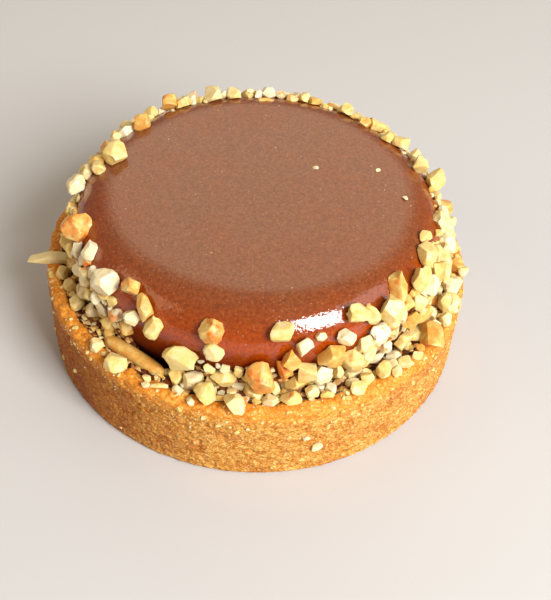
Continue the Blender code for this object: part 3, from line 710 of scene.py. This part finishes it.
# %% The nuts that stand out
# Azimuth, distance up the bed and size in mm, shape, turn (0 along the rim), tone
NUTS = [
    (236, 4, 13, "baton", 0, "almond"), (190, 0.5, 9.5, "sliver", 84, "cream"),
    (252, 13, 7, "slice", 20, "ivory"), (328, 1, 6, "wedge", 30, "gold"),
    (274, 13, 6, "chunk", 90, "roast"), (320, 21, 6.4, "shard", 60, "gold"),
    (168, 26, 6, "wedge", 20, "ivory"), (200, 20.5, 5.5, "chunk", 160, "roast"),
    (301, 12, 5.5, "wedge", 100, "ivory"), (320, 9, 5.5, "slice", 140, "ivory"),
    (161, 22, 5.5, "shard", 40, "gold"), (281, 13.5, 5, "shard", 100, "brown"),
    (313, 19.5, 5, "chunk", 70, "ivory"), (354, 16.5, 5, "wedge", 170, "white"),
    (338, 21.5, 5, "wedge", 30, "ivory"), (16, 19.5, 5, "chunk", 140, "ivory"),
    (224, 19.5, 5, "chunk", 120, "white"), (268, 1, 5, "wedge", 100, "cream"),
    (294, 15, 5, "wedge", 160, "gold"), (342, 2, 5, "wedge", 20, "ivory"),
    (112, 24, 4.5, "chunk", 130, "cream"), (260, 1.5, 4.5, "chunk", 100, "ivory"),
    (287, 12, 4.5, "wedge", 100, "ivory"), (35, 22, 4.5, "wedge", 140, "ivory"),
    (235, 0.5, 4.5, "wedge", 10, "ivory"), (260, 20, 4.5, "round", 100, "roast"),
    (280, 20.5, 4.5, "wedge", 0, "ivory"), (328, 20, 4.5, "chunk", 50, "ivory"),
    (357, 20, 4.5, "wedge", 140, "cream"), (178, 19.5, 4.5, "chunk", 20, "white"),
    (264, 10, 4.5, "wedge", 20, "ivory"), (309, 2, 4.5, "wedge", 50, "ivory"),
    (128, 22, 4.5, "chunk", 80, "gold"), (8, 17.5, 4.5, "chunk", 160, "gold"),
    (145, 24.5, 4, "chunk", 40, "gold"), (150, 19.5, 4, "wedge", 60, "ivory"),
    (239, 19.8, 5, "shard", 125, "gold"), (282, 2, 4, "wedge", 170, "tan"),
    (322, 14.5, 4, "chunk", 140, "gold"), (60, 23, 4, "wedge", 120, "ivory"),
    (20, 22.5, 4, "chunk", 120, "ivory"), (216, 8, 4, "wedge", 60, "white"),
    (298, 18, 4, "wedge", 160, "white"), (303, 21, 4, "chunk", 160, "ivory"),
    (308, 20, 4, "wedge", 70, "ivory"), (346, 18, 4, "chunk", 60, "cream"),
    (210, 20.5, 4, "wedge", 140, "white"), (209, 3, 4, "wedge", 160, "tan"),
    (343, 1, 4, "wedge", 20, "cream"), (243, 17.6, 4.4, "wedge", 100, "ivory"),
    (282, 16, 4, "chunk", 90, "gold"), (326, 16.5, 3.5, "chunk", 90, "cream"),
    (307, 12, 3.5, "chunk", 140, "cream"), (300, 1, 3.5, "wedge", 160, "ivory"),
    (160, 17.5, 3.5, "wedge", 40, "cream"), (232, 21.5, 3.5, "chunk", 30, "roast"),
    (261, 16.5, 3.5, "round", 20, "cream"), (336, 1, 3.5, "wedge", 20, "cream"),
    (144, 19.5, 3.5, "chunk", 60, "cream"), (174, 23.5, 3.5, "wedge", 20, "tan"),
    (286, 18, 3.5, "chunk", 90, "white"), (28, 20.5, 3.5, "chunk", 120, "cream"),
    (104, 24, 3.5, "chunk", 150, "ivory"), (203, 14, 3.5, "sliver", 60, "cream"),
    (358, 1, 3.5, "wedge", 0, "gold"), (91, 26, 3.5, "sliver", 10, "gold"),
    (197, 2, 3.2, "wedge", 0, "tan"), (216, 14, 3.2, "chunk", 40, "tan"),
    (248, 1, 3.2, "sliver", 30, "tan"), (344, 22.5, 3.2, "wedge", 140, "ivory"),
    (50, 24, 3.2, "wedge", 80, "gold"), (170, 19, 3, "chunk", 40, "tan"),
    (236, 17.2, 3.6, "wedge", 20, "white"), (304, 2, 3, "wedge", 60, "ivory"),
    (356, 0, 3, "wedge", 0, "cream"), (184, 17, 2.9, "chunk", 40, "tan"),
    (202, 3, 2.9, "chunk", 100, "tan"), (227, 1, 2.9, "chunk", 140, "cream"),
    (316, 1, 2.9, "slice", 140, "cream"), (38, 24, 2.9, "chunk", 140, "ivory"),
]
# Small bits and flakes that lie apart, on the rim, the glaze and the wall, in the same form
BITS = [
    (34, 42, 1.2, "slice", 30, "white"), (19, 31, 1.1, "slice", 120, "white"),
    (0, 27.5, 1.3, "slice", 70, "white"), (289, -10.5, 2.3, "slice", 40, "white"),
    (286, -7.5, 1.4, "slice", 10, "white"), (226, 15, 1.5, "chunk", 80, "white"),
    (228, 12, 2, "wedge", 40, "cream"), (222, 4, 1.5, "chunk", 140, "tan"),
    (260, 12, 2.4, "chunk", 90, "cream"), (253, 1.5, 2.2, "wedge", 20, "white"),
    (245, 0.2, 1.6, "chunk", 30, "white"), (244, 1.2, 1.6, "chunk", 30, "cream"),
    (257, 0.3, 1.8, "wedge", 110, "white"), (291, 19, 2, "wedge", 160, "cream"),
    (343, 5, 2.2, "wedge", 10, "gold"), (341, 0, 1.6, "slice", 10, "white"),
    (323, 1.3, 1.7, "chunk", 30, "gold"), (320, 0.7, 2.2, "wedge", 130, "cream"),
    (312, 0.6, 2.4, "wedge", 40, "cream"),
]

# %% The upper edge of the garland, and the scatter below it
# How far up the bed the garland reaches, in mm, at some azimuths
GARLAND_TOP = [
    (0, 20.5), (20, 22), (35, 22.5), (60, 24), (90, 25), (112, 25), (135, 24), (150, 24),
    (167, 24.5), (176, 21.5), (186, 19), (204, 20.5), (212, 20), (226, 19), (232, 16), (236, 4),
    (246, 5), (253, 13), (276, 14), (286, 13), (300, 13), (308, 18.5), (320, 20), (340, 21),
    (360, 20.5),
]
# How far from the rim's outer edge it begins, in mm
GARLAND_FOOT = [
    (0, 0.4), (150, 1.0), (180, 2.6), (200, 3.2), (246, 3.2), (256, 1.6), (275, 1.2), (300, 1.6),
    (320, 0.8), (340, 0.3), (360, 0.4),
]
# How large the pieces are, in mm, and how many are thrown, of which most find no room
SCATTER = [(4.2, 300), (3.6, 600), (3.0, 1200), (2.4, 1800), (1.8, 2200), (1.2, 1800)]
# How yellow the flesh is, and how far it is toasted
TONES = {
    "white": (0.2, 0.0), "ivory": (0.6, 0.0), "cream": (0.45, 0.14), "gold": (0.9, 0.42),
    "tan": (0.6, 0.3), "almond": (0.95, 0.22), "roast": (0.7, 0.62), "brown": (1.0, 1.1),
}
# Above this size, in mm, a nut has worn edges and hollows
FINE_SIZE = 2.5
# How much room a thrown nut needs to another, as a share of their sizes together
CLOSENESS = 0.34
# How far a nut stays off the tart, which is less than nothing, because it sinks in
LIFT = -0.12 * MM
# Where up the bed, in mm, a nut slides down into the groove, and by how much at a time
OVER_GROOVE = (2.4, 9.0)
SLIDE, SLIDES = 0.25 * MM, 24
SEATING_STEPS = 40


def garland_edge(edge, azimuth):
    """The value of one of the garland's edges at an azimuth, in mm."""
    azimuths, values = zip(*edge)
    return float(np.interp(azimuth % 360, azimuths, values))


def dropped(centre, points):
    """Lets a nut slide down until it rests: it sinks a little, is pushed clear, and so on."""
    for _ in range(SLIDES):
        trial = centre - np.array([0.0, 0.0, SLIDE])
        for _ in range(4):
            signed, ways = clearance(points + trial)
            lowest = signed.argmin()
            if signed[lowest] > LIFT - 0.05 * MM:
                break
            trial = trial + ways[lowest] * (LIFT - signed[lowest])
        else:
            break
        if trial[2] > centre[2] - 0.06 * MM:
            break
        centre = trial
    return centre


def seat(azimuth, up, size, points, turn, rng):
    """The rotation and place at which a nut rests on the bed."""
    here, normal = bed_point(up * MM)
    angle = math.radians(azimuth)
    radial = Vector((math.cos(angle), math.sin(angle), 0.0))
    outward = radial * normal[0] + Vector((0.0, 0.0, normal[1]))
    along = Vector((-math.sin(angle), math.cos(angle), 0.0))
    axes = Matrix((along, outward.cross(along), outward)).transposed()
    slack = math.radians(16 * min(1.0, 4.0 / size))
    tilt = Euler((rng.uniform(-slack, slack), rng.uniform(-slack, slack), math.radians(turn)))
    rotation = axes @ tilt.to_matrix()
    turned_points = points @ np.array(rotation).T * size * MM
    outward = np.array(outward)
    centre = np.array([here[0] * radial.x, here[0] * radial.y, here[1]]) + outward * size * MM * 0.35
    free_way = np.array([radial.x, radial.y, 1.0]) / math.sqrt(2)
    for step in range(SEATING_STEPS):
        early = step < SEATING_STEPS // 2
        signed, ways = clearance(turned_points + centre)
        lowest = signed.argmin()
        missing = LIFT - signed[lowest]
        if abs(missing) < 0.03 * MM:
            break
        if missing > 0:
            centre = centre + (ways[lowest] if early else free_way) * missing
        elif early:
            centre = centre + outward * missing
    if OVER_GROOVE[0] < up < OVER_GROOVE[1]:
        centre = dropped(centre, turned_points)
    return rotation, centre


seated = []
taken = np.zeros((len(NUTS) + len(BITS) + sum(throws for _, throws in SCATTER), 4))


def has_room(centre, size, closeness):
    """Whether a nut keeps clear of the others already seated."""
    others = taken[:len(seated)]
    apart = np.linalg.norm(others[:, :3] - centre, axis=1)
    return not (apart < closeness * (size * MM + others[:, 3])).any()


def seat_nut(azimuth, up, size, shape, turn, tone, fine, rng, closeness):
    """Seats one nut, if it has room."""
    variant = rng.randrange(VARIANTS)
    points = np.array([vert.co for vert in library[shape, False][variant].vertices])
    if closeness:
        here, normal = bed_point(up * MM)
        angle = math.radians(azimuth)
        reach = here[0] + normal[0] * size * 0.4 * MM
        height = here[1] + normal[1] * size * 0.4 * MM
        guess = np.array([reach * math.cos(angle), reach * math.sin(angle), height])
        if not has_room(guess, size, closeness):
            return
    rotation, centre = seat(azimuth, up, size, points, turn, rng)
    if closeness and not has_room(centre, size, closeness):
        return
    taken[len(seated)] = (*centre, size * MM)
    seated.append({
        "centre": centre, "size": size, "shape": shape, "fine": fine, "variant": variant,
        "euler": rotation.to_euler(), "yellow": tone[0], "toast": tone[1],
    })


for index, (azimuth, up, size, shape, turn, tone) in enumerate(NUTS + BITS):
    seat_nut(azimuth, up, size, shape, turn, TONES[tone], size > FINE_SIZE, random.Random(index), 0)
placed = len(seated)
rng = random.Random(11)
for size, throws in SCATTER:
    for _ in range(throws):
        azimuth = rng.uniform(0, 360)
        foot, top = garland_edge(GARLAND_FOOT, azimuth), garland_edge(GARLAND_TOP, azimuth)
        up = rng.uniform(foot, max(foot, top - 0.3 * size))
        tone = (rng.uniform(0.0, 0.9), max(0.0, rng.gauss(0.1, 0.2)))
        shape = rng.choice(["chunk", "wedge", "wedge", "slice", "shard"])
        seat_nut(
            azimuth, up, size * rng.uniform(0.88, 1.12), shape, rng.uniform(0, 180), tone,
            size > FINE_SIZE, rng, CLOSENESS,
        )
print("nuts seated:", len(seated), "of which placed one by one:", placed)

# %% [markdown]
# ## The crushed nut under the garland
#
# Between the pieces that show lies what the chopping shed: meal and small bits,
# stuck in the groove and soaked brown by the glaze. It is one lumpy bank that
# follows the bed line, thins out towards both edges and ends where the garland
# ends. Its section is swept round the tart, and a noise gives it its lumps.

# %% The bank's material
meal, tree, shader, in_mm = new_material("glaze_soaked_nut_meal")
bits = add(tree, "ShaderNodeTexVoronoi", {"Vector": in_mm, "Scale": 1 / 0.8}, feature="F1")
bit_tone = add(tree, "ShaderNodeSeparateColor", {0: bits.outputs["Color"]})
soaked = add(tree, "ShaderNodeValToRGB", {0: bit_tone}, stops=[
    (0.15, "#34100a"), (0.5, "#6a2a0c"), (0.66, "#9a5f2a"), (0.82, "#cfa465"), (1.0, "#e6c98c"),
])
bump = add(
    tree, "ShaderNodeBump", {"Strength": 0.8, "Distance": 0.25 * MM, "Height": bits.outputs["Distance"]},
    invert=True,
)
fill(shader, {"Base Color": soaked, "Normal": bump, "Roughness": 0.38, "IOR": 1.46})

# %% The bank
BANK_START = 2.2 * MM
BANK_SHORT_OF_TOP = 2.2 * MM
BANK_SHORTEST = 1.2 * MM
BANK_THICKNESS = 0.75 * MM
BANK_SEGMENTS = 420
BANK_STEPS = 28


def bank_section(azimuth):
    """Points round the bank's section: up along its lumpy top, and back along its underside."""
    angle = math.radians(azimuth)
    end = garland_edge(GARLAND_TOP, azimuth) * MM - BANK_SHORT_OF_TOP
    reach = max(end, BANK_START + BANK_SHORTEST)
    top, underside = [], []
    for step in range(BANK_STEPS + 1):
        share = step / BANK_STEPS
        (radius, height), normal = bed_point(BANK_START + (reach - BANK_START) * share)
        place = Vector((radius * math.cos(angle), radius * math.sin(angle), height)) / MM
        lump = 1.0 + 0.8 * noise.noise(place / 1.4) + 0.4 * noise.noise(place / 0.6)
        thickness = BANK_THICKNESS * math.sin(math.pi * share) ** 0.6 * lump
        top.append((radius + normal[0] * thickness, height + normal[1] * thickness))
        in_groove = DOME_FOOT + 1.0 * MM < radius < inner - 0.5 * MM and height < groove_level + 0.1 * MM
        if in_groove:
            underside.append((radius, FILLING_LEVEL - 0.2 * MM))
        else:
            underside.append(tuple(np.array((radius, height)) - normal * 0.15 * MM))
    return [(r * math.cos(angle), r * math.sin(angle), z) for r, z in top + underside[-2:0:-1]]


sections = np.array([bank_section(360 * segment / BANK_SEGMENTS) for segment in range(BANK_SEGMENTS)])
index = np.arange(sections.shape[0] * sections.shape[1]).reshape(sections.shape[:2])
beside, above = np.roll(index, -1, axis=0), np.roll(index, -1, axis=1)
faces = np.stack([index, beside, np.roll(beside, -1, axis=1), above], axis=-1).reshape(-1, 4)
bank_mesh = bpy.data.meshes.new("crushed_nut_bank")
bank_mesh.from_pydata(sections.reshape(-1, 3).tolist(), [], faces.tolist())
bm = bmesh.new()
bm.from_mesh(bank_mesh)
bmesh.ops.recalc_face_normals(bm, faces=bm.faces)
bm.to_mesh(bank_mesh)
bm.free()
bank_mesh.shade_smooth()
bank_mesh.materials.append(meal)
bank = in_scene("crushed_nut_bank", bank_mesh)
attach(bank, "root")
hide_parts("nut_garland")
print("bank:", len(bank_mesh.polygons), "faces")

# %% [markdown]
# ## Chopped nuts: the material
#
# Blanched almond and hazelnut flesh runs from chalk white to a clear pale
# yellow, with a waxy sheen, and light goes a little way into it. The oven
# toasts it in orange-brown blotches that start at the skin. Each nut carries
# two numbers, how yellow its flesh is and how far it is toasted, and a noise
# at the size of a blotch decides where the toast shows.

# %% The nut material
nut_finish, tree, shader, in_mm = new_material("chopped_blanched_nut")
yellow = add(tree, "ShaderNodeAttribute", attribute_name="yellow").outputs["Fac"]
toast = add(tree, "ShaderNodeAttribute", attribute_name="toast").outputs["Fac"]
blotch = add(tree, "ShaderNodeTexNoise", {"Vector": in_mm, "Scale": 1 / 2.0, "Detail": 3.0, "Roughness": 0.6})
cloud = add(tree, "ShaderNodeTexNoise", {"Vector": in_mm, "Scale": 1 / 1.2, "Detail": 3.0, "Roughness": 0.6})
drift = add(tree, "ShaderNodeMapRange", {0: cloud, 1: 0.3, 2: 0.7, 3: -0.25, 4: 0.25})
yellowed = add(tree, "ShaderNodeMath", {0: yellow, 1: drift}, operation="ADD")
flesh = add(tree, "ShaderNodeValToRGB", {0: yellowed}, stops=[
    (0.0, "#e5d9b9"), (0.35, "#e3d09b"), (0.7, "#dfc272"), (1.0, "#d59c48"),
])
reached = add(tree, "ShaderNodeMath", {0: toast, 1: 0.55, 2: blotch}, operation="MULTIPLY_ADD")
crust_share = add(tree, "ShaderNodeMapRange", {0: reached, 1: 0.74, 2: 0.92})
crust_tone = add(tree, "ShaderNodeValToRGB", {0: cloud}, stops=[(0.35, "#c76a1c"), (0.6, "#ea9c44")])
toasted = add(tree, "ShaderNodeMix", {0: crust_share, 6: flesh, 7: crust_tone}, data_type="RGBA")
grain = add(tree, "ShaderNodeTexNoise", {"Vector": in_mm, "Scale": 1 / 0.6, "Detail": 3.0, "Roughness": 0.6})
bump = add(tree, "ShaderNodeBump", {"Strength": 0.45, "Distance": 0.1 * MM, "Height": grain})
fill(shader, {
    "Base Color": toasted.outputs[2], "Normal": bump, "Roughness": 0.4, "IOR": 1.46,
    "Subsurface Weight": 0.4, "Subsurface Radius": (1.0, 0.75, 0.4), "Subsurface Scale": 1.0 * MM,
})

# %% [markdown]
# ## Chopped nuts: the pieces
#
# Each kind of nut is one piece. Its Geometry Nodes tree reads a cloud of
# points, one a nut, and puts a shape from a collection on each, with the
# turn and size that the point carries. The instances are then made real, so
# that they export as a mesh, and keep the tone for the material.

# %% The nut pieces, as Geometry Nodes
def shape_collection(name, meshes):
    """A collection with one object for each mesh, in order of name."""
    made = bpy.data.collections.new(name)
    for index, mesh in enumerate(meshes):
        made.objects.link(bpy.data.objects.new(f"{name}_{index:02d}", mesh))
    return made


def heap_tree(shapes, material):
    """A tree that puts a shape of the collection on each point, by the point's own values."""
    tree, sizes = geometry_tree(f"heap_of_{shapes.name}", {})
    kinds = add(tree, "GeometryNodeCollectionInfo", {"Collection": shapes, "Separate Children": True})
    read = {
        name: add(tree, "GeometryNodeInputNamedAttribute", {"Name": name}, data_type=kind)
        for name, kind in (("pick", "INT"), ("turn", "FLOAT_VECTOR"), ("size", "FLOAT"))
    }
    turn = add(tree, "FunctionNodeEulerToRotation", {0: read["turn"]})
    placed = add(tree, "GeometryNodeInstanceOnPoints", {
        "Points": sizes["Geometry"], "Instance": kinds, "Pick Instance": True,
        "Instance Index": read["pick"], "Rotation": turn, "Scale": read["size"],
    })
    end_tree(tree, placed, material)
    return tree


def point_cloud(name, nuts, picks):
    """A mesh of loose points that carry each nut's turn, size, tone and shape number."""
    mesh = bpy.data.meshes.new(name)
    mesh.from_pydata([nut["centre"].tolist() for nut in nuts], [], [])
    for title, kind, values in (
        ("pick", "INT", picks), ("size", "FLOAT", [nut["size"] * MM for nut in nuts]),
        ("yellow", "FLOAT", [nut["yellow"] for nut in nuts]),
        ("toast", "FLOAT", [nut["toast"] for nut in nuts]),
    ):
        mesh.attributes.new(title, kind, "POINT").data.foreach_set("value", values)
    turns = mesh.attributes.new("turn", "FLOAT_VECTOR", "POINT")
    turns.data.foreach_set("vector", [value for nut in nuts for value in nut["euler"]])
    return in_scene(name, mesh)


KINDS = {
    "nut_chunks": (True, ["chunk", "round"]), "nut_wedges": (True, ["wedge"]),
    "nut_slices_and_slivers": (True, ["slice", "shard", "sliver", "baton"]),
    "small_nut_pieces": (False, ["chunk", "wedge", "slice", "shard"]),
}
for name, (fine, shapes) in KINDS.items():
    nuts = [nut for nut in seated if nut["fine"] == fine and nut["shape"] in shapes]
    meshes = shape_collection(name + "_shapes", [mesh for shape in shapes for mesh in library[shape, fine]])
    picks = [shapes.index(nut["shape"]) * VARIANTS + nut["variant"] for nut in nuts]
    heap = grow(point_cloud(name, nuts, picks), heap_tree(meshes, nut_finish), {})
    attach(heap, "root")
    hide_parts("nut_garland", "glazed_dome")
    print(name, len(nuts), "nuts,", len(heap.data.polygons), "faces")

# %% [markdown]
# ## Crumbs on the rim and the wall
#
# Pressing the nuts on shed crumbs. They lie thickest on the rim and cling to
# the wall below it, from a quarter of a millimetre to 1.3 mm across. Geometry
# Nodes throws points on the shell itself, keeps more of them the nearer they
# are to the rim, and puts a small nut shape on each, turned to the surface.
# The shape has few faces, because it is repeated hundreds of times.

# %% Crumbs, as Geometry Nodes
crumbling, sizes = geometry_tree("crumbs", {
    "Density": "Float", "Smallest": "Float", "Largest": "Float", "Seed": "Int",
})
axes = add(crumbling, "ShaderNodeSeparateXYZ", {0: add(crumbling, "GeometryNodeInputPosition")}).outputs
near_rim = add(crumbling, "ShaderNodeMapRange", {0: axes[2], 1: 9.0 * MM, 2: 16.8 * MM, 3: 0.02, 4: 1.0})
above_floor = add(crumbling, "ShaderNodeMath", {0: axes[2], 1: 2.0 * MM}, operation="GREATER_THAN")
clumps = add(crumbling, "ShaderNodeTexNoise", {"Scale": 1 / (9 * MM), "Detail": 2.0})
clumped = add(crumbling, "ShaderNodeMapRange", {0: clumps, 1: 0.42, 2: 0.62, 3: 0.15, 4: 1.0})
on_left = add(crumbling, "ShaderNodeMapRange", {0: axes[0], 1: -16 * MM, 2: -34 * MM, 3: 0.0, 4: 0.16})
share = add(crumbling, "ShaderNodeMath", {0: near_rim, 1: on_left}, operation="ADD")
for factor in (clumped, above_floor, sizes["Density"]):
    share = add(crumbling, "ShaderNodeMath", {0: share, 1: factor}, operation="MULTIPLY")
thrown = add(crumbling, "GeometryNodeDistributePointsOnFaces", {
    "Mesh": sizes["Geometry"], "Density": share, "Seed": sizes["Seed"],
})
crumb_shapes = shape_collection("crumb_shapes", library["slice", False] + library["chunk", False])
kinds = add(crumbling, "GeometryNodeCollectionInfo", {"Collection": crumb_shapes, "Separate Children": True})
spin = add(
    crumbling, "FunctionNodeRandomValue", {0: (0.0, 0.0, 0.0), 1: (0.7, 0.7, math.tau)},
    data_type="FLOAT_VECTOR",
)
spun = add(
    crumbling, "FunctionNodeRotateRotation", {0: thrown.outputs["Rotation"], 1: spin},
    rotation_space="LOCAL",
)
even = add(crumbling, "FunctionNodeRandomValue", {2: 0.0, 3: 1.0})
skewed = add(crumbling, "ShaderNodeMath", {0: even.outputs[1], 1: 2.6}, operation="POWER")
crumb_size = add(crumbling, "ShaderNodeMapRange", {0: skewed, 3: sizes["Smallest"], 4: sizes["Largest"]})
laid = add(crumbling, "GeometryNodeInstanceOnPoints", {
    "Points": thrown.outputs["Points"], "Instance": kinds, "Pick Instance": True,
    "Rotation": spun, "Scale": crumb_size,
})
yellow = add(crumbling, "FunctionNodeRandomValue", {2: 0.0, 3: 0.7})
toned = add(
    crumbling, "GeometryNodeStoreNamedAttribute",
    {"Geometry": laid, "Name": "yellow", "Value": yellow.outputs[1]}, data_type="FLOAT", domain="INSTANCE",
)
end_tree(crumbling, toned, nut_finish)

crumbs = in_scene("nut_crumbs", shell.data.copy())
grow(crumbs, crumbling, {"Density": 4.2e5, "Smallest": 0.25 * MM, "Largest": 1.3 * MM, "Seed": 3})
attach(crumbs, "root")
print("crumbs:", len(crumbs.data.polygons), "faces")

# %% [markdown]
# ## The stage: floor, lights and camera
#
# The tart stands on a pale surface by a window. A broad pale panel behind it
# is what the flat top mirrors, as a soft veil. The window itself, small and
# bright in front and to the right, makes the white highlight on the shoulder,
# with the sky round it as a wider, weaker panel. A weak warm one on the left
# stands for light thrown back by the room.

# %% Floor and light
AIMED_AT = Vector((0, 0, 0.02))
VEIL_STEPS = 6
VEIL_POWER = 1.1
TABLE_HALF = 2.0


def panel(name, direction, distance, size, power, colour="#ffffff"):
    """A rectangular area light that faces the tart, from an azimuth and elevation in degrees."""
    azimuth, elevation = map(math.radians, direction)
    way = Vector((
        math.cos(azimuth) * math.cos(elevation), math.sin(azimuth) * math.cos(elevation), math.sin(elevation),
    ))
    lamp = bpy.data.lights.new(name, "AREA")
    lamp.shape = "RECTANGLE"
    lamp.size, lamp.size_y = size
    lamp.energy = power
    lamp.color = linear(colour)[:3]
    made = in_scene(name, lamp)
    made.location = AIMED_AT + way * distance
    made.rotation_euler = way.to_track_quat("Z", "Y").to_euler()
    return made


floor_mesh = bpy.data.meshes.new("table_top")
corners = [(x * TABLE_HALF, y * TABLE_HALF, 0) for x, y in ((-1, -1), (1, -1), (1, 1), (-1, 1))]
floor_mesh.from_pydata(corners, [], [(0, 1, 2, 3)])
floor = in_scene("table_top", floor_mesh)
surface, tree, shader, in_mm = new_material("pale_table")
fill(shader, {"Base Color": linear("#bfbdbb"), "Roughness": 0.6, "IOR": 1.45})
floor.data.materials.append(surface)
lights = [
    panel(
        f"back_panel_{step}", (92, 42), 0.6 + 0.01 * step, (0.42 + 0.09 * step, 0.24 + 0.07 * step),
        VEIL_POWER / VEIL_STEPS * (0.5 + 0.2 * step), "#ffefd2",
    )
    for step in range(VEIL_STEPS)
] + [
    panel("window", (313, 38), 0.7, (0.3, 0.36), 7.4),
    panel("window_sky", (338, 36), 0.75, (0.6, 0.5), 1.7),
    panel("left_fill", (200, 30), 0.8, (0.5, 0.5), 1.5, "#ffdca8"),
]

world = bpy.data.worlds.new("room")
bpy.context.scene.world = world
world.use_nodes = True
fill(world.node_tree.nodes["Background"], {"Color": linear("#cfcac6"), "Strength": 0.38})
print("lights:", [lamp.name for lamp in lights])

# %% The camera
TARGET = Vector((4.13, 3.23, 0.0)) * MM
ELEVATION, ROLL = math.radians(46.3), math.radians(4.1)
DISTANCE = 207.8 * MM
back = Vector((0.0, -math.cos(ELEVATION), math.sin(ELEVATION)))
across = Vector((1.0, 0.0, 0.0))
upward = back.cross(across)
right = across * math.cos(ROLL) + upward * math.sin(ROLL)
up = upward * math.cos(ROLL) - across * math.sin(ROLL)
lens = bpy.data.cameras.new("camera")
lens.lens = 60
lens.clip_start = 0.01
camera = in_scene("camera", lens)
turn = Matrix((right, up, back)).transposed().to_4x4()
camera.matrix_world = Matrix.Translation(TARGET + back * DISTANCE) @ turn
bpy.context.scene.camera = camera
bpy.context.scene.view_settings.view_transform = "Standard"
print("camera at", [round(value / MM) for value in camera.location], "mm")
